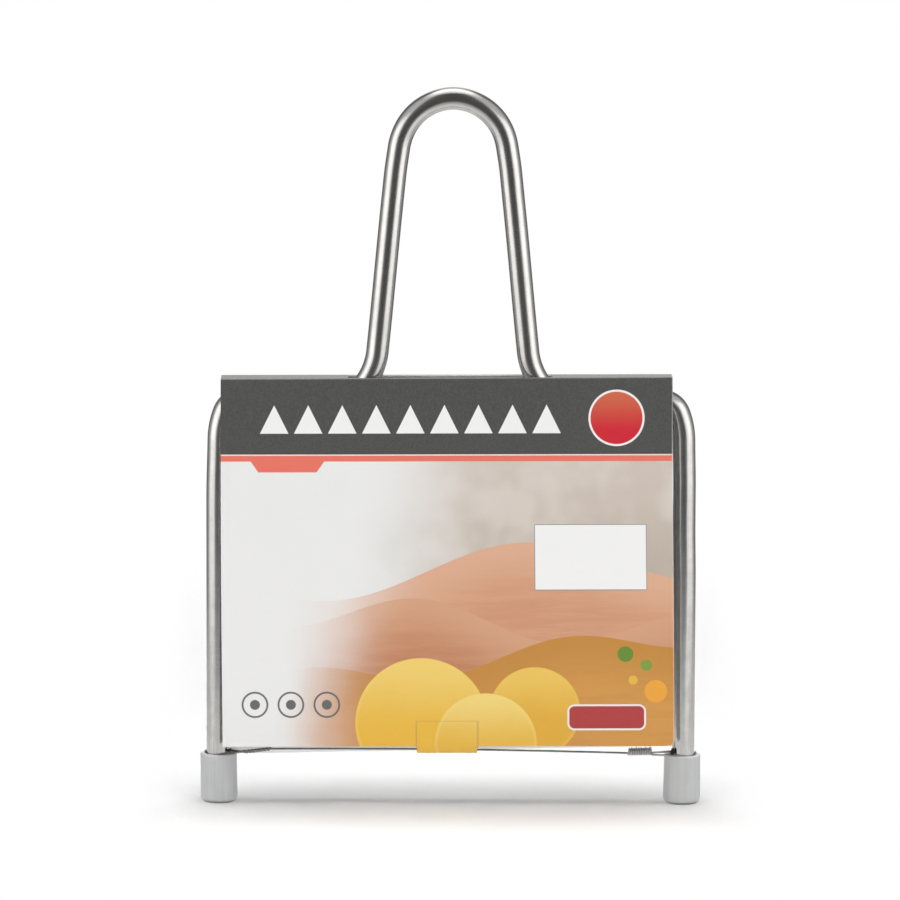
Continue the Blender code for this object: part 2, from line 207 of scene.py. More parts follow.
def half_rod():
    """Centre line from the handle's top to the right leg's end. Its points are close at notches."""
    path = [Vector((0.0, HEIGHT - ROD_RADIUS))]
    heading = bend(path, 0.0, ARCH_RADIUS, HANDLE_LEAN - math.pi / 2)
    between = math.sin(HANDLE_LEAN + BASE_UPPER_TURN)
    fall = BASE_UPPER_RADIUS * (between - math.sin(HANDLE_LEAN))
    fall += BASE_LOWER_RADIUS * (1.0 - between)
    drop = path[-1].y - SHOULDER_HEIGHT - fall
    run_to(path, path[-1] + drop * Vector((math.tan(HANDLE_LEAN), -1.0)), 2 * MM)
    heading = bend(path, heading, BASE_UPPER_RADIUS, BASE_UPPER_TURN)
    heading = bend(path, heading, BASE_LOWER_RADIUS, -heading)
    reach = CORNER_LOWER_RADIUS * (1.0 - math.cos(CORNER_LOWER_TURN))
    reach += CORNER_UPPER_RADIUS * math.cos(CORNER_LOWER_TURN)
    run_to(path, Vector((LEG_X - reach, SHOULDER_HEIGHT)), 2 * MM)
    heading = bend(path, heading, CORNER_UPPER_RADIUS, CORNER_LOWER_TURN - math.pi / 2)
    bend(path, heading, CORNER_LOWER_RADIUS, -CORNER_LOWER_TURN)
    top_notch = LOOP_HEIGHT + (NOTCH_COUNT - 1) * NOTCH_PITCH
    run_to(path, Vector((LEG_X, top_notch + 2 * NOTCH_DEPTH)), 2 * MM)
    for number in range(NOTCH_COUNT - 1, -1, -1):
        height = LOOP_HEIGHT + number * NOTCH_PITCH
        run_to(path, Vector((LEG_X, height + 1.2 * NOTCH_DEPTH)), 1.5 * MM)
        run_to(path, Vector((LEG_X, height - 1.2 * NOTCH_DEPTH)), 0.065 * MM)
    run_to(path, Vector((LEG_X, ROD_END_HEIGHT)), 2 * MM)
    return path


def tube(name, points, radius, sides, material, flat=False, shape=None):
    """A closed tube along the points, with blunt tips. It stores each point's place along it."""
    tangents = []
    for number, point in enumerate(points):
        before = points[max(0, number - 1)]
        after = points[min(len(points) - 1, number + 1)]
        tangents.append((after - before).normalized())
    normal = Vector((0.0, 1.0, 0.0)) if flat else tangents[0].orthogonal().normalized()
    verts = []
    places = []
    along = 0.0
    for number, point in enumerate(points):
        tangent = tangents[number]
        if number:
            along += (point - points[number - 1]).length
            if not flat:
                turn = tangents[number - 1].rotation_difference(tangent)
                normal = (turn @ normal).normalized()
        side = tangent.cross(normal).normalized()
        for corner in range(sides):
            angle = 2 * math.pi * corner / sides
            out = math.cos(angle) * side + math.sin(angle) * normal
            vert = point + radius * out
            if shape:
                vert = shape(vert)
            verts.append(vert)
            places.append((radius * math.cos(angle), radius * math.sin(angle), along))
    faces = []
    for ring in range(len(points) - 1):
        for corner in range(sides):
            after = (corner + 1) % sides
            low = ring * sides
            high = low + sides
            faces.append((low + corner, low + after, high + after, high + corner))
    for ring, sign in ((0, -1.0), (len(points) - 1, 1.0)):
        centre = len(verts)
        verts.append(points[ring] + sign * 0.3 * radius * tangents[ring])
        places.append((0.0, 0.0, 0.0 if ring == 0 else along))
        for corner in range(sides):
            after = (corner + 1) % sides
            pair = (ring * sides + corner, ring * sides + after)
            faces.append((*(pair if ring else pair[::-1]), centre))
    obj = new_object(name, verts, faces, material)
    attribute = obj.data.attributes.new("place", "FLOAT_VECTOR", "POINT")
    attribute.data.foreach_set("vector", [value for place in places for value in place])
    return obj


def notch(vert):
    """Holds a point of a leg's rear inside the nearest notch, with a slightly rounded rim."""
    number = round((vert.z - LOOP_HEIGHT) / NOTCH_PITCH)
    if not 0 <= number < NOTCH_COUNT or abs(vert.x) < LEG_X - 1.5 * ROD_RADIUS:
        return vert
    offset = abs(vert.z - LOOP_HEIGHT - number * NOTCH_PITCH)
    limit = ROD_RADIUS - NOTCH_DEPTH + offset
    if vert.y > limit:
        return Vector((vert.x, limit, vert.z))
    return vert


def uneven_bend(point):
    """Moves a point of the centre line aside, as a rod bent by hand has it.

    Where the wire runs, the legs stay straight.
    """
    x = point.x / MM
    z = point.z / MM
    handle_left = 0.30 * ease(z, 165, 120) + 0.43 * ease(z, 168, 181)
    handle_right = 0.36 * ease(z, 178, 169) - 0.17 * ease(z, 155, 125)
    rightwards = ease(x, -6, 6)
    handle = handle_left * (1 - rightwards) + handle_right * rightwards
    leg = 0.35 * ease(z, 82, 100) if x < 0 else -0.18 * ease(z, 60, 75) - 0.22 * ease(z, 85, 99)
    beyond = ease(abs(x), 35, 50)
    return point + Vector(((handle * (1 - beyond) + leg * beyond) * MM, 0.0, 0.0))


def build_rod(material):
    half = half_rod()
    right = [Vector((p.x, 0.0, p.y)) for p in half]
    left = [Vector((-p.x, 0.0, p.z)) for p in reversed(right[1:])]
    path = [uneven_bend(point) for point in left + right]
    rod = tube("bent_rod", path, ROD_RADIUS, ROD_SIDES, material, flat=True, shape=notch)
    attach(rod, "knife")
    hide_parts("frame_rod")


def foot_profile():
    """Radius and height from the bore's floor, over the mouth and the rim, down to the sole."""
    bore = ROD_RADIUS + 0.12 * MM
    rim = 0.30 * MM
    sole_width = 1.45 * MM
    sole_height = 1.8 * MM
    points = [
        (bore, FOOT_HEIGHT - FOOT_BORE_DEPTH),
        (bore, FOOT_HEIGHT - 0.46 * MM),
        (bore + 0.06 * MM, FOOT_HEIGHT - 0.40 * MM),
        (bore + 0.28 * MM, FOOT_HEIGHT - 0.34 * MM),
        (bore + 0.34 * MM, FOOT_HEIGHT - 0.26 * MM),
        (bore + 0.37 * MM, FOOT_HEIGHT - 0.06 * MM),
        (bore + 0.43 * MM, FOOT_HEIGHT),
        (FOOT_TOP_RADIUS - 0.35 * MM, FOOT_HEIGHT),
    ]
    for number in range(1, 7):
        angle = math.pi / 2 * (1 - number / 6)
        points.append((FOOT_TOP_RADIUS - rim + rim * math.cos(angle),
                       FOOT_HEIGHT - rim + rim * math.sin(angle)))
    for number in range(1, 12):
        t = number / 12
        waist = 0.05 * MM * math.sin(math.pi * t)
        radius = FOOT_TOP_RADIUS + t * (FOOT_BOTTOM_RADIUS - FOOT_TOP_RADIUS) - waist
        points.append((radius, FOOT_HEIGHT - rim - t * (FOOT_HEIGHT - 2.20 * MM)))
    for number in range(11):
        angle = -math.pi / 2 * number / 10
        points.append((FOOT_BOTTOM_RADIUS - sole_width + sole_width * math.cos(angle),
                       sole_height + sole_height * math.sin(angle)))
    points.append((1.2 * MM, 0.0))
    return points


def build_foot(name, node, x, material):
    """A cap with a bore for the rod. Its outside leans and sits a little towards the middle."""
    profile = foot_profile()
    count = FOOT_SIDES
    side = math.copysign(1.0, x)
    verts = []
    for radius, height in profile:
        outside = clamp((radius - ROD_RADIUS) / (0.8 * MM)) if height > 6 * MM else 1.0
        shift = side * (0.16 * MM * (height / FOOT_HEIGHT - 1.0) - 0.20 * MM * outside)
        for number in range(count):
            angle = 2 * math.pi * number / count
            verts.append((x + shift + radius * math.cos(angle), radius * math.sin(angle), height))
    faces = []
    for ring in range(len(profile) - 1):
        for number in range(count):
            after = (number + 1) % count
            low = ring * count
            high = low + count
            faces.append((low + number, high + number, high + after, low + after))
    floor = len(verts)
    base = floor + 1
    verts += [(x, 0.0, FOOT_HEIGHT - FOOT_BORE_DEPTH), (x, 0.0, 0.0)]
    last = (len(profile) - 1) * count
    for number in range(count):
        after = (number + 1) % count
        faces.append((number, after, floor))
        faces.append((last + after, last + number, base))
    foot = new_object(name, verts, faces, material, 50.0)
    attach(foot, "knife")
    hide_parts(node)


def spline(start, start_handle, end_handle, end, count):
    """Points between the ends of a cubic curve, without the ends."""
    points = []
    for number in range(1, count + 1):
        t = number / (count + 1)
        u = 1.0 - t
        points.append(u**3 * start + 3 * u * u * t * start_handle
                      + 3 * u * t * t * end_handle + t**3 * end)
    return points


def wire_end(side, hand, reach, length, turns, rise, wrap, sway, lift, core_drop):
    """One looped end of the wire: the wraps from its tip, a strand, the loop and a strand back.

    The wraps start at the reach from the leg's centre and run inwards for their length. Where the
    core sways it winds with the wraps, and otherwise it is straight. The front of the loop dips
    into the mouth of the foot cap.
    """
    leg = Vector((side * LEG_X, 0.0, LOOP_HEIGHT))
    outer = Vector((side * (LEG_X - reach), 0.0, LOOP_HEIGHT + lift))
    drop = Vector((0.0, 0.0, -core_drop))
    inner = outer + Vector((-side * length, 0.0, rise))
    wraps = []
    core = []
    count = TURN_POINTS * turns
    for number in range(count + 1):
        t = number / count
        angle = hand * (math.pi / 2 - 2 * math.pi * turns * t)
        size = wrap * (1.0 + 0.06 * math.sin(3.1 * turns * t))
        around = Vector((0.0, math.cos(angle), math.sin(angle)))
        middle = outer.lerp(inner, t)
        wraps.append(middle + size * around)
        core.append(middle + drop - sway * math.sin(math.pi * t) ** 0.5 * around)
    touch = math.acos(LOOP_RADIUS / reach)
    loop = []
    for number in range(LOOP_POINTS + 1):
        angle = touch + 2 * (math.pi - touch) * number / LOOP_POINTS
        dip = ease(angle, 0.9 * math.pi, 1.2 * math.pi)
        rise_again = clamp((angle - 1.28 * math.pi) / (0.35 * math.pi))
        sag = 0.78 * MM * dip * (1.0 - 0.62 * rise_again * rise_again)
        loop.append(leg + Vector((-side * LOOP_RADIUS * math.cos(angle),
                                  LOOP_RADIUS * math.sin(angle), -sag)))
    rear = loop[0]
    front = loop[-1]
    away = Vector((-side * math.sin(touch), math.cos(touch), 0.0))
    across = Vector((-side * length / turns, 2 * math.pi * wrap, 0.0)).normalized()
    returning = spline(wraps[0], wraps[0] - reach / 5 * across,
                       front + reach / 3 * away, front, STRAND_POINTS)
    leading = spline(rear, rear + reach / 3 * Vector((away.x, -away.y, 0.0)),
                     core[0] + reach / 5 * Vector((side, 0.0, 0.0)), core[0], STRAND_POINTS)
    return wraps[::-1] + returning + loop[::-1] + leading + core[::4 if sway else count]


def build_knot(name, centre, along, length, wrap, material):
    """A tight little winding of wire in front of a leg, in near-black steel that paints the shade
    there. Its centre is in millimetres.
    """
    centre = MM * Vector(centre)
    along = Vector(along).normalized()
    front = Vector((0.0, 1.0, 0.0))
    across = along.cross(front).normalized()
    points = []
    count = KNOT_TURN_POINTS * KNOT_TURNS
    for number in range(count + 1):
        t = number / count
        angle = 2 * math.pi * KNOT_TURNS * t
        size = wrap * math.sin(math.pi * (0.08 + 0.62 * t)) ** 0.7
        around = math.cos(angle) * across + math.sin(angle) * front
        points.append(centre + (t - 0.5) * length * along + size * around)
    knot = tube(name, points, KNOT_WIRE_RADIUS, KNOT_SIDES, material)
    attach(knot, "wire")


def build_wire(material, dark):
    left = wire_end(side=-1, hand=1, reach=7.2 * MM, length=6.8 * MM, turns=7, rise=0.85 * MM,
                    wrap=0.28 * MM, sway=0.25 * MM, lift=-0.20 * MM, core_drop=0.0)
    right = wire_end(side=1, hand=-1, reach=8.4 * MM, length=6.2 * MM, turns=10, rise=-0.14 * MM,
                     wrap=0.84 * MM, sway=0.0, lift=0.34 * MM, core_drop=0.36 * MM)
    run = []
    for number in range(1, RUN_POINTS):
        t = number / RUN_POINTS
        run.append(left[-1].lerp(right[-1], t) + Vector((0.0, 0.0, WIRE_BOW * t * (1 - t))))
    wire = tube("looped_wire", left + run + right[::-1], WIRE_RADIUS, WIRE_SIDES, material)
    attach(wire, "wire")
    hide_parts("cutting_wire")
    # The knots' near-black steel is painted shade.
    build_knot("left_knot", (-59.05, -2.05, 14.08), (1.0, 0.0, 0.30), 1.15 * MM, 0.20 * MM, dark)
    build_knot("right_knot", (59.15, -2.30, 14.20), (-0.10, 0.0, -1.0), 1.55 * MM, 0.36 * MM, dark)


def half_depth(z):
    """Half the distance between the outer faces of the flared panels at a height."""
    return SPINE_HALF + (SLEEVE_TOP - z) * math.tan(FLARE)


def sleeve_profile():
    """Outer face of the card in Y and Z: up the front, over the spine and down the back.

    With it come the number of its first rows, which the tongue takes up, and the first and last
    row of the slot.
    """
    rise = math.pi / 2 - FLARE
    tangent = CREASE_RADIUS * math.tan(rise / 2)
    path = [Vector((-half_depth(FRONT_EDGE), FRONT_EDGE))]
    run_to(path, Vector((-half_depth(TONGUE_CREASE), TONGUE_CREASE)), 1.2 * MM)
    tongue_rows = len(path) - 1
    upwards = Vector((math.sin(FLARE), math.cos(FLARE)))
    run_to(path, Vector((-SPINE_HALF, SLEEVE_TOP)) - tangent * upwards, 2.5 * MM)
    heading = bend(path, rise, CREASE_RADIUS, -rise, math.radians(15))
    run_to(path, Vector((SLOT_FRONT, SLEEVE_TOP)), 1 * MM)
    slot_start = len(path) - 1
    run_to(path, Vector((SPINE_HALF - tangent, SLEEVE_TOP)), 1.5 * MM)
    slot_end = len(path)
    bend(path, heading, CREASE_RADIUS, -rise, math.radians(15))
    run_to(path, Vector((half_depth(BACK_EDGE), BACK_EDGE)), 2.5 * MM)
    return path, tongue_rows, slot_start, slot_end


def columns(stops, step):
    """Even places from stop to stop, at most a step apart."""
    places = [stops[0]]
    for stop in stops[1:]:
        count = max(1, math.ceil((stop - places[-1]) / step - 1e-6))
        start = places[-1]
        places += [start + (stop - start) * number / count for number in range(1, count + 1)]
    return places


def card_warp(x, y, z):
    """Small unevenness of a hung card: tilted, with uneven side edges, a bow and soft waves.

    The front is flat again at the tongue's crease, so that the tongue can turn there.
    """
    down = (SLEEVE_TOP - z) / (SLEEVE_TOP - FRONT_EDGE)
    span = (x - SLEEVE_LEFT) / (SLEEVE_RIGHT - SLEEVE_LEFT)
    uneven = (-0.14 - 0.18 * math.sin(math.pi * clamp(down))) * (1.0 - span) * MM
    uneven += (0.56 * ease(down, 0.15, 0.9) - 0.22) * span * MM
    bulge = math.sin(math.pi * clamp(down / 0.93))
    free = bulge * math.sin(math.pi * clamp(span))
    bow = 0.22 * MM * free + 0.05 * MM * math.sin(70 * x + 45 * z) * min(1.0, 3 * bulge)
    dx = x + uneven - 0.5 * (SLEEVE_LEFT + SLEEVE_RIGHT)
    dz = z - 0.5 * (SLEEVE_TOP + FRONT_EDGE)
    askew = 1.9 * MM * span * clamp(down) if y > 0 else 0.0
    near_front_crease = clamp(0.5 - y / (2 * SPINE_HALF)) * max(0.0, 1.0 - max(0.0, down) / 0.15)
    askew += 0.32 * MM * (span - 0.1) * near_front_crease
    outwards = -bow if y < 0 else bow
    return Vector((x + uneven - dz * CARD_TILT, y + outwards, z + dx * CARD_TILT + askew))


def keep_sheet_place(obj, places):
    """Stores each point's place in millimetres before the card's unevenness, for the print."""
    attribute = obj.data.attributes.new("sheet", "FLOAT_VECTOR", "POINT")
    attribute.data.foreach_set("vector", [1000.0 * value for place in places for value in place])


def trim_and_harden(obj):
    """Removes points that no face uses and marks the sheet's cut edges as sharp."""
    bm = bmesh.new()
    bm.from_mesh(obj.data)
    bmesh.ops.delete(bm, geom=[v for v in bm.verts if not v.link_faces], context="VERTS")
    for edge in bm.edges:
        if edge.is_boundary:
            edge.smooth = False
    bm.to_mesh(obj.data)
    bm.free()


def thicken(obj, inside, edge):
    """Gives the sheet its thickness, an inner face and a cut edge."""
    obj.data.materials.append(inside)
    obj.data.materials.append(edge)
    solid = obj.modifiers.new("card", "SOLIDIFY")
    solid.thickness = CARD
    solid.offset = -1.0
    solid.use_even_offset = True
    solid.material_offset = 1
    solid.material_offset_rim = 2


def build_sleeve(outside, inside, edge):
    """The card round the rod, with the slot in its spine and the cut-out for the tongue."""
    path, tongue_rows, slot_start, slot_end = sleeve_profile()
    cut_half = TONGUE_HALF + TONGUE_GAP
    cut = [TONGUE_X - cut_half, TONGUE_X + cut_half]
    places = columns([SLEEVE_LEFT, -SLOT_HALF, *cut, SLOT_HALF, SLEEVE_RIGHT], 2.0 * MM)
    flat = [(x, point.x, point.y) for x in places for point in path]
    verts = [card_warp(*place) for place in flat]
    rows = len(path)
    lower_right_corner = -rows
    verts[lower_right_corner] += Vector((-0.50 * MM, 0.0, 0.35 * MM))
    faces = []
    for column in range(len(places) - 1):
        middle = (places[column] + places[column + 1]) / 2
        for row in range(rows - 1):
            if abs(middle) < SLOT_HALF and slot_start <= row < slot_end:
                continue
            if abs(middle - TONGUE_X) < cut_half and row < tongue_rows:
                continue
            low = column * rows + row
            faces.append((low, low + rows, low + rows + 1, low + 1))
    sleeve = new_object("folded_sleeve", verts, faces, outside, 60.0)
    keep_sheet_place(sleeve, flat)
    trim_and_harden(sleeve)
    thicken(sleeve, inside, edge)
    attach(sleeve, "sleeve")
    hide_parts("card_sleeve")


def build_tongue(outside, inside, edge):
    """The tongue of the front panel, hanging from its crease, with its end curled inwards."""
    face = half_depth(TONGUE_CREASE)
    turn = math.radians(75.0)
    start = TONGUE_BOTTOM + TONGUE_CURL * math.sin(turn)
    path = [Vector((-face, TONGUE_CREASE)), Vector((-face, TONGUE_CREASE - 0.4 * MM))]
    run_to(path, Vector((-half_depth(start), start)), 0.8 * MM)
    bend(path, -math.pi / 2 - FLARE, TONGUE_CURL, turn, math.radians(7))
    places = columns([TONGUE_X - TONGUE_HALF, TONGUE_X + TONGUE_HALF], 0.5 * MM)
    flat = [(x, point.x, point.y) for x in places for point in path]
    verts = []
    for x, y, z in flat:
        dent = math.exp(-((x - 2.0 * MM) / (1.0 * MM)) ** 2)
        dent *= clamp((TONGUE_CREASE - 4.5 * MM - z) / (1.5 * MM))
        taper = 0.035 * clamp((start - z) / (start - TONGUE_BOTTOM))
        verts.append(card_warp(x, y, z) + Vector(((TONGUE_X - x) * taper, 0.16 * MM * dent, 0.0)))
    rows = len(path)
    faces = []
    for column in range(len(places) - 1):
        for row in range(rows - 1):
            first = column * rows + row
            faces.append((first, first + 1, first + rows + 1, first + rows))
    tongue = new_object("card_tongue", verts, faces, outside, 60.0)
    keep_sheet_place(tongue, flat)
    trim_and_harden(tongue)
    thicken(tongue, inside, edge)
    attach(tongue, "tongue")
    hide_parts("closing_tongue")


# Materials

class Nodes:
    """Short calls for the node trees below."""

    def __init__(self, name):
        self.material = bpy.data.materials.new(name)
        self.material.use_nodes = True
        self.tree = self.material.node_tree
        self.shader = self.tree.nodes["Principled BSDF"]

    def node(self, kind, **settings):
        node = self.tree.nodes.new(kind)
        for key, value in settings.items():
            setattr(node, key, value)
        return node

    def feed(self, socket, value):
        if isinstance(value, bpy.types.NodeSocket):
            self.tree.links.new(value, socket)
        else:
            socket.default_value = value

    def math(self, operation, *values):
        node = self.node("ShaderNodeMath", operation=operation)
        for socket, value in zip(node.inputs, values):
            self.feed(socket, value)
        return node.outputs[0]

    def plus(self, first, second):
        return self.math("ADD", first, second)

    def minus(self, first, second):
        return self.math("SUBTRACT", first, second)

    def times(self, first, second):
        return self.math("MULTIPLY", first, second)

    def absolute(self, value):
        return self.math("ABSOLUTE", value)

    def apart(self, first, second):
        """Distance between two values."""
        return self.absolute(self.minus(first, second))

    def length(self, x, y):
        return self.math("SQRT", self.plus(self.times(x, x), self.times(y, y)))

    def step(self, value, low, high):
        """Smooth rise from 0 at low to 1 at high. With high below low it falls."""
        if high < low:
            return self.minus(1.0, self.step(value, high, low))
        node = self.node("ShaderNodeMapRange", interpolation_type="SMOOTHSTEP")
        self.feed(node.inputs["Value"], value)
        node.inputs["From Min"].default_value = low
        node.inputs["From Max"].default_value = high
        return node.outputs["Result"]

    def ranged(self, value, low, high, to_low, to_high):
        node = self.node("ShaderNodeMapRange")
        for key, item in (("Value", value), ("From Min", low), ("From Max", high),
                          ("To Min", to_low), ("To Max", to_high)):
            self.feed(node.inputs[key], item)
        return node.outputs["Result"]

    def blend(self, factor, first, second):
        """A value that goes from the first to the second as the factor goes from 0 to 1."""
        return self.ranged(factor, 0.0, 1.0, first, second)

    def mix(self, factor, first, second):
        """The same for colours."""
        node = self.node("ShaderNodeMix", data_type="RGBA")
        self.feed(node.inputs["Factor"], factor)
        for key, value in (("A", first), ("B", second)):
            socket = [s for s in node.inputs if s.name == key and s.type == "RGBA"][0]
            self.feed(socket, (*value, 1.0) if isinstance(value, tuple) else value)
        return [s for s in node.outputs if s.type == "RGBA"][0]

    def noise(self, vector, scale, detail=2.0, roughness=0.5, stretch=None):
        if stretch:
            scaled = self.node("ShaderNodeVectorMath", operation="MULTIPLY")
            self.feed(scaled.inputs[0], vector)
            scaled.inputs[1].default_value = stretch
            vector = scaled.outputs[0]
        node = self.node("ShaderNodeTexNoise")
        self.feed(node.inputs["Vector"], vector)
        node.inputs["Scale"].default_value = scale
        node.inputs["Detail"].default_value = detail
        node.inputs["Roughness"].default_value = roughness
        return node.outputs["Fac"]

    def place(self, name):
        """A place that the mesh stores under a name."""
        node = self.node("ShaderNodeAttribute", attribute_name=name)
        return node.outputs["Vector"]

    def object_place(self):
        """Object coordinates in millimetres, which are the row frame's at rest."""
        node = self.node("ShaderNodeTexCoord")
        scaled = self.node("ShaderNodeVectorMath", operation="SCALE")
        self.tree.links.new(node.outputs["Object"], scaled.inputs[0])
        scaled.inputs["Scale"].default_value = 1000.0
        return scaled.outputs[0]

    def split(self, vector):
        node = self.node("ShaderNodeSeparateXYZ")
        self.feed(node.inputs[0], vector)
        return node.outputs[0], node.outputs[1], node.outputs[2]

    def bump(self, height, strength, distance):
        """Feeds the shader's normal."""
        node = self.node("ShaderNodeBump")
        node.inputs["Strength"].default_value = strength
        node.inputs["Distance"].default_value = distance
        self.feed(node.inputs["Height"], height)
        self.feed(self.shader.inputs["Normal"], node.outputs["Normal"])

    def set(self, **values):
        """Sets or links the shader's sockets, named with _ for each space."""
        for key, value in values.items():
            name = key.replace("_", " ")
            if isinstance(value, tuple):
                value = (*value, 1.0)
            self.feed(self.shader.inputs[name], value)


def steel(name, light, dark, rough_low, rough_high, streak, grain, relief, painted_glint_tone=None):
    """Drawn steel: fine streaks along its length, a little mottling and uneven polish.

    A lighter tone, a painted glint, brightens the wire's wraps at the right.
    """
    n = Nodes(name)
    place = n.place("place")
    streaks = n.noise(place, 1.0, 3.0, 0.6, (streak, streak, streak / 45))
    mottle = n.noise(place, 260.0, 3.0, 0.6)
    wide = n.noise(place, 30.0, 1.0)
    shade = n.math("MULTIPLY_ADD", mottle, 0.5, n.times(streaks, 0.5))
    colour = n.mix(n.step(shade, 0.32, 0.68), dark, light)
    # The wraps at the right are painted lighter: a painted glint.
    if painted_glint_tone:
        x = n.split(n.object_place())[0]
        colour = n.mix(n.times(n.step(x, 46.5, 47.5), 0.45), colour, painted_glint_tone)
    polish = n.math("MULTIPLY_ADD", wide, 0.5, n.times(streaks, 0.5))
    n.set(Metallic=1.0, Base_Color=colour,
          Roughness=n.ranged(polish, 0.3, 0.7, rough_low, rough_high))
    fine = n.noise(place, 2600.0, 2.0, 0.6)
    height = n.math("MULTIPLY_ADD", fine, grain, streaks)
    n.bump(height, relief, 0.02 * MM)
    return n.material


def cap_plastic():
    """Grey plastic, scuffed at the foot. Lighter vertical streaks paint a soft sheen, the upper rim
    is painted paler as if lit from above, and the lowest millimetre is painted dark as a contact
    shadow.
    """
    n = Nodes("soft_grey_plastic")
    place = n.object_place()
    cloud = n.noise(place, 0.14, 2.0, 0.5)
    speck = n.noise(place, 2.6, 2.0, 0.6)
    z = n.split(place)[2]
    scuff = n.times(n.step(z, 2.2, 0.2), n.step(speck, 0.42, 0.62))
    colour = n.mix(n.step(cloud, 0.3, 0.7), (0.445, 0.453, 0.452), (0.480, 0.487, 0.483))
    colour = n.mix(n.times(scuff, 0.25), colour, (0.33, 0.33, 0.32))
    # Lighter vertical streaks: painted sheen, standing in for soft highlights.
    streaks = n.noise(place, 1.3, 2.0, 0.5, (1.0, 1.0, 0.03))
    colour = n.mix(n.times(n.step(streaks, 0.35, 0.65), 0.30), colour, (0.58, 0.58, 0.58))
    # Painted contact shadow: the lowest millimetre is darkened to near black.
    colour = n.mix(n.step(z, 0.95, 0.30), colour, (0.12, 0.12, 0.12))
    # Paler upper rim: painted light, as if lit from above.
    colour = n.mix(n.times(n.step(z, 12.75, 13.03), 0.7), colour, (0.66, 0.66, 0.65))
    n.set(Base_Color=colour, Roughness=n.ranged(speck, 0.3, 0.7, 0.27, 0.38))
    n.bump(speck, 0.18, 0.02 * MM)
    return n.material


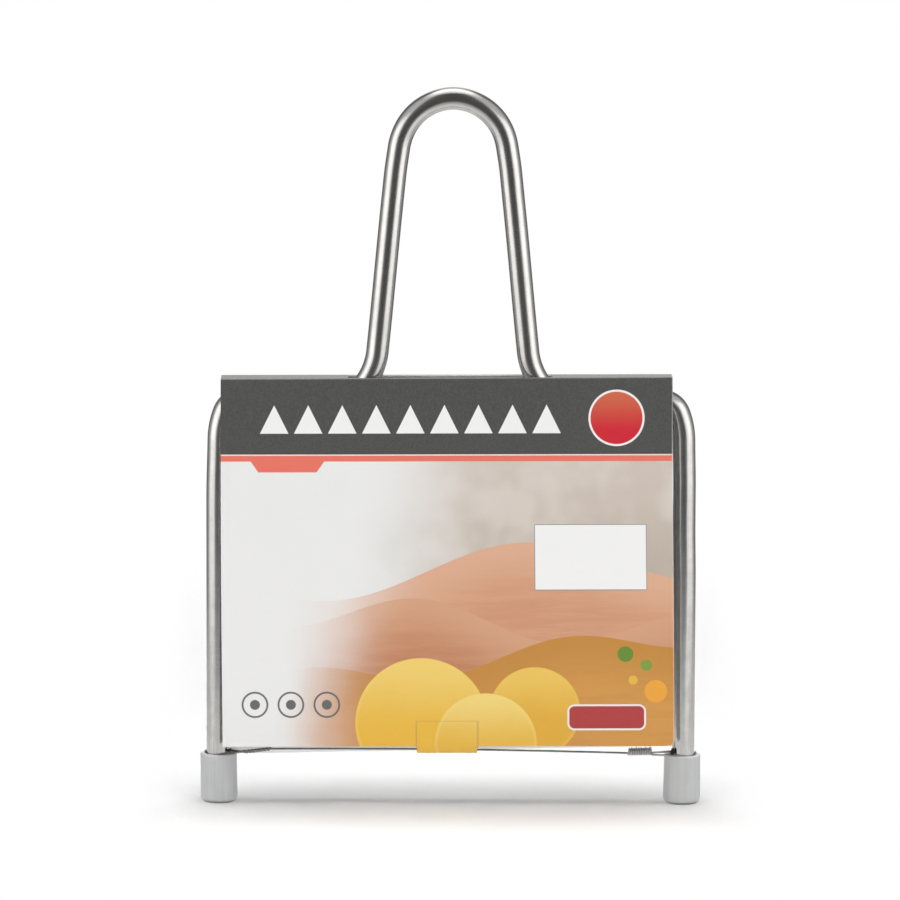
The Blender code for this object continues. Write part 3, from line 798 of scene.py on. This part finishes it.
class Print(Nodes):
    """The parts of the card's design, in millimetres of the sheet's own places.

    Each part takes the colour below it and gives the colour with the part on top.
    """

    def __init__(self, name):
        super().__init__(name)
        lowered = self.node("ShaderNodeVectorMath", operation="ADD")
        self.feed(lowered.inputs[0], self.place("sheet"))
        lowered.inputs[1].default_value = PRINT_OFFSET
        self.sheet = lowered.outputs[0]
        self.x, self.y, self.z = self.split(self.sheet)
        self.soft = self.noise(self.sheet, 0.045, 2.0)
        self.cloud = self.noise(self.sheet, 0.07, 2.0, 0.5)
        self.grain = self.noise(self.sheet, 0.5, 4.0, 0.6, (0.12, 1.0, 1.3))
        slanted = self.math("MULTIPLY_ADD", self.z, -0.12, self.plus(self.x, 13.0))
        self.sweep = self.math("MULTIPLY_ADD", self.soft, 12.0, slanted)
        grit = self.noise(self.sheet, 2.4, 2.0, 0.7)
        self.charcoal = self.mix(self.step(grit, 0.3, 0.7),
                                 (0.061, 0.061, 0.057), (0.084, 0.084, 0.078))

    def away_from(self, x, z):
        return self.length(self.minus(self.x, x), self.minus(self.z, z))

    def outside_box(self, x, z, half_x, half_z):
        """Distance from a box, which rounds the corners of what is drawn round it."""
        dx = self.math("MAXIMUM", self.minus(self.apart(self.x, x), half_x), 0.0)
        dz = self.math("MAXIMUM", self.minus(self.apart(self.z, z), half_z), 0.0)
        return self.length(dx, dz)

    def ground(self):
        """Pale at the left, warm grey at the right."""
        stone = self.mix(self.step(self.z, 50.0, 92.0), (0.44, 0.38, 0.31), (0.59, 0.51, 0.45))
        cloudy = self.times(self.step(self.cloud, 0.40, 0.66), 0.6)
        stone = self.mix(cloudy, stone, (0.70, 0.64, 0.58))
        return self.mix(self.step(self.sweep, -16.0, 24.0), PAPER, stone)

    def layers(self, colour):
        """Rolling layers from peach to honey, each changing in tone towards its foot."""
        for level, height, rate, phase, slope, top, foot in LAYERS:
            wave = self.math("SINE", self.math("MULTIPLY_ADD", self.x, rate, phase))
            line = self.math("MULTIPLY_ADD", wave, height,
                             self.math("MULTIPLY_ADD", self.x, slope, level))
            under = self.minus(line, self.z)
            tone = self.mix(self.step(under, 0.0, 17.0), top, foot)
            tone = self.mix(self.times(self.step(self.grain, 0.38, 0.68), 0.35), tone, top)
            shown = self.times(self.step(under, -0.12, 0.12), self.step(self.sweep, -30.0, 8.0))
            colour = self.mix(shown, colour, tone)
        return colour

    def rounds(self, colour):
        """Overlapping rounds in yellow, each with a paler upper part and a soft inner rim."""
        for x, z, radius, tone, light in ROUNDS:
            away = self.away_from(x, z)
            upwards = self.math("MULTIPLY_ADD", self.cloud, 6.0, self.minus(self.z, z))
            lit = self.mix(self.step(upwards, 0.0, radius + 3.0), tone, light)
            rim = self.times(self.step(away, radius - 0.9, radius - 0.6), 0.35)
            lit = self.mix(rim, lit, light)
            colour = self.mix(self.step(away, radius + 0.12, radius - 0.12), colour, lit)
        return colour

    def dots(self, colour):
        """Small dots in green and orange."""
        for x, z, radius, tone in DOTS:
            inside = self.step(self.away_from(x, z), radius + 0.12, radius - 0.12)
            colour = self.mix(inside, colour, tone)
        return colour

    def rings(self, colour):
        """A row of three rings with a dot inside, at the lower left."""
        for number in range(3):
            away = self.away_from(-52.0 + 9.5 * number, 27.0)
            ring = self.times(self.step(away, 3.6, 3.45), self.step(away, 2.95, 3.1))
            inner = self.step(away, 1.4, 1.25)
            colour = self.mix(self.plus(ring, inner), colour, (0.13, 0.13, 0.13))
        return colour

    def bar(self, colour):
        """A red bar with a pale outline."""
        away = self.outside_box(41.0, 23.5, 8.5, 1.6)
        colour = self.mix(self.step(away, 1.95, 1.85), colour, (0.82, 0.80, 0.78))
        return self.mix(self.step(away, 1.45, 1.35), colour, (0.42, 0.045, 0.045))

    def label(self, colour):
        """A bare white panel with a fine outline."""
        away = self.outside_box(37.0, 66.5, 14.6, 8.6)
        colour = self.mix(self.step(away, 0.30, 0.20), colour, (0.26, 0.25, 0.25))
        return self.mix(self.step(away, 0.08, 0.02), colour, (0.85, 0.85, 0.84))

    def painted_cut_shade(self, colour):
        """Painted shade along the tongue's cuts and its crease, a brownish darkening."""
        beside = self.minus(self.apart(self.x, TONGUE_X / MM), TONGUE_HALF / MM)
        cut = self.times(self.step(self.absolute(beside), 0.26, 0.06),
                         self.step(self.z, 22.75, 22.55))
        cut = self.times(cut, self.ranged(self.soft, 0.3, 0.7, 0.45, 0.75))
        fold = self.times(self.step(self.apart(self.z, 22.52), 0.24, 0.05),
                          self.step(beside, 0.1, -0.1))
        fold = self.times(fold, 0.25)
        return self.mix(self.math("MAXIMUM", cut, fold), colour, (0.38, 0.20, 0.06))

    def tab(self, colour):
        """The red tab with slanting sides below the stripe."""
        half_width = self.math("MULTIPLY_ADD", self.z, 0.7, -54.8)
        beyond = self.minus(self.apart(self.x, -43.0), half_width)
        inside = self.times(self.step(beyond, 0.1, -0.1), self.step(self.z, 89.2, 89.4))
        return self.mix(inside, colour, RED)

    def heading(self, colour):
        """Stripe, fine line and charcoal band, one above the other."""
        colour = self.mix(self.step(self.z, 92.10, 92.26), colour, RED)
        colour = self.mix(self.step(self.z, 93.66, 93.76), colour, (0.80, 0.70, 0.66))
        return self.mix(self.step(self.z, 94.00, 94.12), colour, self.charcoal)

    def wedges(self, colour):
        """White wedges in the band."""
        x = self.minus(self.math("MODULO", self.plus(self.x, 105.0), 9.0), 4.5)
        z = self.minus(self.z, 99.6)
        under = self.minus(self.math("MULTIPLY_ADD", self.absolute(x), -2.0, 7.6), z)
        inside = self.times(self.step(under, -0.1, 0.15), self.step(z, -0.05, 0.1))
        row = self.times(self.step(self.x, -51.1, -51.0), self.step(self.x, 30.1, 30.0))
        return self.mix(self.times(inside, row), colour, (0.86, 0.86, 0.85))

    def badge(self, colour):
        """A red disc with a white rim in the band."""
        away = self.away_from(44.0, 103.6)
        colour = self.mix(self.step(away, 7.5, 7.35), colour, (0.86, 0.84, 0.83))
        disc = self.mix(self.step(self.z, 99.5, 111.0), (0.60, 0.010, 0.026), (0.60, 0.13, 0.06))
        return self.mix(self.step(away, 6.95, 6.8), colour, disc)

    def wear_and_crease_highlight(self, colour):
        """Ink slightly worn along the right edge. Along the front crease the lighter grey is partly
        worn ink and partly a painted highlight.
        """
        rub = self.noise(self.sheet, 0.9, 3.0, 0.7)
        edge = self.times(self.step(self.x, 58.50, 58.80), self.ranged(rub, 0.3, 0.7, 0.15, 0.55))
        colour = self.mix(edge, colour, PAPER)
        # Lighter grey along the front crease: partly wear, partly painted highlight.
        crease_wear_and_highlight = self.times(self.step(self.z, 113.90, 114.18),
                           self.step(self.absolute(self.y), 3.7, 4.1))
        crease_wear_and_highlight = self.times(crease_wear_and_highlight, self.ranged(rub, 0.3, 0.7, 0.15, 0.5))
        return self.mix(crease_wear_and_highlight, colour, (0.30, 0.30, 0.31))


def printed(name):
    """Outer face of the card. The back panel carries only the band and the stripe."""
    n = Print(name)
    colour = n.ground()
    for part in (n.layers, n.rounds, n.dots, n.rings, n.bar, n.label, n.painted_cut_shade, n.tab, n.heading,
                 n.wedges, n.badge):
        colour = part(colour)
    colour = n.wear_and_crease_highlight(n.mix(n.step(n.y, -0.05, 0.05), colour, n.heading(PAPER)))
    fibre = n.noise(n.sheet, 3.2, 3.0, 0.65)
    spine_gloss = n.times(n.step(n.z, 114.05, 114.18), -0.10)
    n.set(Base_Color=colour, Specular_IOR_Level=0.45,
          Roughness=n.plus(n.ranged(fibre, 0.3, 0.7, 0.34, 0.46), spine_gloss))
    n.bump(fibre, 0.10, 0.02 * MM)
    return n.material


def bare_card(name, light, dark):
    """Uncoated board: pale fibres with a little grey fleck."""
    n = Nodes(name)
    place = n.place("sheet")
    fibre = n.noise(place, 1.6, 4.0, 0.7, (1.0, 1.0, 2.2))
    fleck = n.noise(place, 3.4, 2.0, 0.6)
    colour = n.mix(n.step(fibre, 0.3, 0.7), dark, light)
    colour = n.mix(n.times(n.step(fleck, 0.66, 0.74), 0.25), colour, (0.45, 0.43, 0.40))
    n.set(Base_Color=colour, Roughness=n.ranged(fibre, 0.3, 0.7, 0.72, 0.86))
    n.bump(fibre, 0.3, 0.03 * MM)
    return n.material


# Studio

def emitter(n, strength):
    """Makes a material give out white light, of a plain strength or one from a socket."""
    n.tree.nodes.remove(n.shader)
    glow = n.node("ShaderNodeEmission")
    n.feed(glow.inputs["Strength"], strength)
    n.tree.links.new(glow.outputs[0], n.tree.nodes["Material Output"].inputs["Surface"])
    return n.material


def shown_rays(tree):
    """1 for camera, glossy and transmission rays, so that metal shows the pale background too."""
    path = tree.nodes.new("ShaderNodeLightPath")
    total = path.outputs["Is Camera Ray"]
    for key in ("Is Glossy Ray", "Is Transmission Ray"):
        node = tree.nodes.new("ShaderNodeMath")
        node.operation = "ADD"
        node.use_clamp = True
        tree.links.new(total, node.inputs[0])
        tree.links.new(path.outputs[key], node.inputs[1])
        total = node.outputs[0]
    return total


def build_world():
    world = bpy.data.worlds.new("studio")
    bpy.context.scene.world = world
    world.use_nodes = True
    tree = world.node_tree
    background = tree.nodes["Background"]
    background.inputs["Color"].default_value = (*WHITE, 1.0)
    level = tree.nodes.new("ShaderNodeMapRange")
    tree.links.new(shown_rays(tree), level.inputs["Value"])
    level.inputs["To Min"].default_value = WORLD_LIGHT
    level.inputs["To Max"].default_value = 1.0
    tree.links.new(level.outputs[0], background.inputs["Strength"])


def build_floor():
    """White floor, which is a little lit from within below the object.

    Away from the object it gives out its own white, to the rays that show it.
    """
    bpy.ops.mesh.primitive_plane_add(size=FLOOR_SIZE, location=(0.0, 0.0, 0.0))
    floor = bpy.context.object
    floor.name = "floor"
    n = Nodes("studio_floor")
    place = n.object_place()
    x, y, _ = n.split(place)
    speck = n.noise(place, 0.05, 2.0)
    n.set(Base_Color=n.mix(speck, (0.78, 0.78, 0.78), (0.80, 0.80, 0.80)), Roughness=0.9,
          Specular_IOR_Level=0.0, Subsurface_Weight=1.0, Subsurface_Scale=0.038)
    n.shader.subsurface_method = "BURLEY"
    n.shader.inputs["Subsurface Radius"].default_value = WHITE
    below = n.times(n.step(n.absolute(y), 9.0, 0.0), n.step(n.absolute(x), 64.0, 54.0))
    n.set(Emission_Color=WHITE, Emission_Strength=n.times(below, FLOOR_LIGHT))
    white = n.node("ShaderNodeEmission")
    blend = n.node("ShaderNodeMixShader")
    outside = n.math("MAXIMUM", n.step(n.length(x, y), *FLOOR_FADE),
                     n.step(n.absolute(x), *SIDE_FADE))
    n.feed(blend.inputs["Fac"], n.times(outside, shown_rays(n.tree)))
    n.tree.links.new(n.shader.outputs[0], blend.inputs[1])
    n.tree.links.new(white.outputs[0], blend.inputs[2])
    output = n.tree.nodes["Material Output"]
    n.tree.links.new(blend.outputs[0], output.inputs["Surface"])
    floor.data.materials.append(n.material)


def area_light(name, place, target, width, depth, radiance):
    """A soft box at a place, which looks at a target and shows in no mirror."""
    light = bpy.data.lights.new(name, "AREA")
    light.shape = "RECTANGLE"
    light.size = width
    light.size_y = depth
    light.energy = math.pi * width * depth * radiance
    obj = bpy.data.objects.new(name, light)
    bpy.context.scene.collection.objects.link(obj)
    obj.location = place
    obj.rotation_euler = (Vector(target) - Vector(place)).to_track_quat("-Z", "Y").to_euler()
    obj.visible_camera = False
    obj.visible_glossy = False


def around(degrees, radius, height):
    """A point round the object. 0 degrees is straight in front, and +90 is to its right."""
    angle = math.radians(degrees)
    return Vector((math.sin(angle) * radius, -math.cos(angle) * radius, height))


def reflected_only(obj):
    """Lets a screen show in reflections only, and casts no light or shadow with it."""
    obj.visible_camera = False
    obj.visible_diffuse = False
    obj.visible_transmission = False
    obj.visible_shadow = False


def radiance_ramp(n, azimuth, stops):
    """A radiance by azimuth. The ramp's factor runs from 0 to 1 and its values are halved."""
    ramp = n.node("ShaderNodeValToRGB")
    n.feed(ramp.inputs["Fac"], n.ranged(azimuth, -180.0, 180.0, 0.0, 1.0))
    elements = ramp.color_ramp.elements
    while len(elements) > 1:
        elements.remove(elements[-1])
    for number, (degrees, value) in enumerate(stops):
        position = (degrees + 180.0) / 360.0
        element = elements[0] if number == 0 else elements.new(position)
        element.position = position
        element.color = (value / 2, value / 2, value / 2, 1.0)
    return n.times(ramp.outputs["Color"], 2.0)


def screen_material(name, lying):
    """Glow by azimuth. The surround's changes with height, and the lying disc's with distance."""
    n = Nodes(name)
    x, y, z = n.split(n.object_place())
    azimuth = n.times(n.math("ARCTAN2", x, n.times(y, -1.0)), 180.0 / math.pi)
    side = radiance_ramp(n, azimuth, SCREENS)
    low = n.math("MINIMUM", side, LOW_RADIANCE)
    if lying:
        away = n.length(x, y)
        near = radiance_ramp(n, azimuth, NEAR_FLOOR)
        level = n.blend(n.step(away, 230.0, 440.0), near, low)
        level = n.blend(n.step(away, 90.0, 230.0), UNDER_RADIANCE, level)
    else:
        high = n.math("MINIMUM", side, HIGH_RADIANCE)
        level = n.blend(n.step(z, 15.0, 55.0), low, side)
        level = n.blend(n.step(z, 350.0, 500.0), level, high)
    return emitter(n, level)


def screen_ring(height):
    """Points of the surround's circle at a height."""
    return [around(360.0 * number / SCREEN_SIDES, SCREEN_RADIUS, height)
            for number in range(SCREEN_SIDES)]


def build_screens():
    """Surround, floor disc and glow above, which show only in reflections."""
    verts = [point for pair in zip(screen_ring(0.0), screen_ring(SCREEN_HEIGHT)) for point in pair]
    total = len(verts)
    faces = [(low, low + 1, (low + 3) % total, (low + 2) % total) for low in range(0, total, 2)]
    reflected_only(new_object("surround", verts, faces, screen_material("surround_screens", False)))
    disc = [tuple(reversed(range(SCREEN_SIDES)))]
    sheen = screen_material("near_floor_sheen", True)
    reflected_only(new_object("near_floor", screen_ring(0.3 * MM), disc, sheen))
    outline = ((-0.36, -0.16), (0.36, -0.16), (0.36, 0.60), (-0.36, 0.60))
    corners = [(x, y, GLOW_HEIGHT) for x, y in outline]
    glow = emitter(Nodes("top_glow_light"), GLOW_RADIANCE)
    reflected_only(new_object("top_glow", corners, [(0, 1, 2, 3)], glow))


def build_lights():
    area_light("soft_left", around(-76, 0.60, 0.09), around(-76, 0.0, 0.09), 0.50, 0.16, 3.6)
    area_light("soft_right", around(76, 0.60, 0.09), around(76, 0.0, 0.09), 0.50, 0.16, 4.0)
    for name, y, depth, radiance in (("overhead", 0.215, 0.26, 12.4),
                                     ("overhead_front", -0.21, 0.22, 14.6)):
        area_light(name, (0.0, y, GLOW_HEIGHT), (0.0, y, 0.0), 0.80, depth, radiance)
    area_light("front_fill", (0.0, -1.20, 0.14), (0.0, 0.0, 0.14), 1.0, 0.26, 5.85)
    build_screens()


def build_camera():
    camera = bpy.data.cameras.new("camera")
    camera.lens = CAMERA_LENS
    camera.sensor_width = 36.0
    camera.clip_start = 0.05
    camera.clip_end = 50.0
    obj = bpy.data.objects.new("camera", camera)
    bpy.context.scene.collection.objects.link(obj)
    pitch = Matrix.Rotation(math.pi / 2 - CAMERA_PITCH, 4, "X")
    roll = Matrix.Rotation(CAMERA_ROLL, 4, "Z")
    obj.matrix_world = Matrix.Translation(CAMERA_PLACE) @ pitch @ roll
    bpy.context.scene.camera = obj


def main():
    rod_steel = steel("satin_rod_steel", light=(0.66, 0.65, 0.63), dark=(0.55, 0.54, 0.52),
                      rough_low=0.15, rough_high=0.23, streak=5200.0, grain=1.2, relief=0.45)
    wire_steel = steel("drawn_wire_steel", light=(0.36, 0.34, 0.32), dark=(0.21, 0.20, 0.19),
                       rough_low=0.24, rough_high=0.36, streak=9000.0, grain=0.4, relief=0.3,
                       painted_glint_tone=(0.78, 0.76, 0.74))
    # Near-black steel for the knots: painted shade.
    painted_shade_steel = steel("painted_shade_wire_steel", light=(0.085, 0.075, 0.065),
                      dark=(0.03, 0.027, 0.025), rough_low=0.42, rough_high=0.60,
                      streak=9000.0, grain=0.4, relief=0.3)
    plastic = cap_plastic()
    outside = printed("printed_card")
    inside = bare_card("card_inner_face", (0.93, 0.93, 0.93), (0.87, 0.87, 0.87))
    edge = bare_card("card_cut_edge", (0.84, 0.83, 0.81), (0.72, 0.70, 0.67))
    build_rod(rod_steel)
    build_foot("left_foot", "foot_cap_left", -LEG_X, plastic)
    build_foot("right_foot", "foot_cap_right", LEG_X, plastic)
    build_wire(wire_steel, painted_shade_steel)
    build_sleeve(outside, inside, edge)
    build_tongue(outside, inside, edge)
    build_world()
    build_floor()
    build_lights()
    build_camera()
    bpy.context.scene.view_settings.view_transform = "Standard"


main()
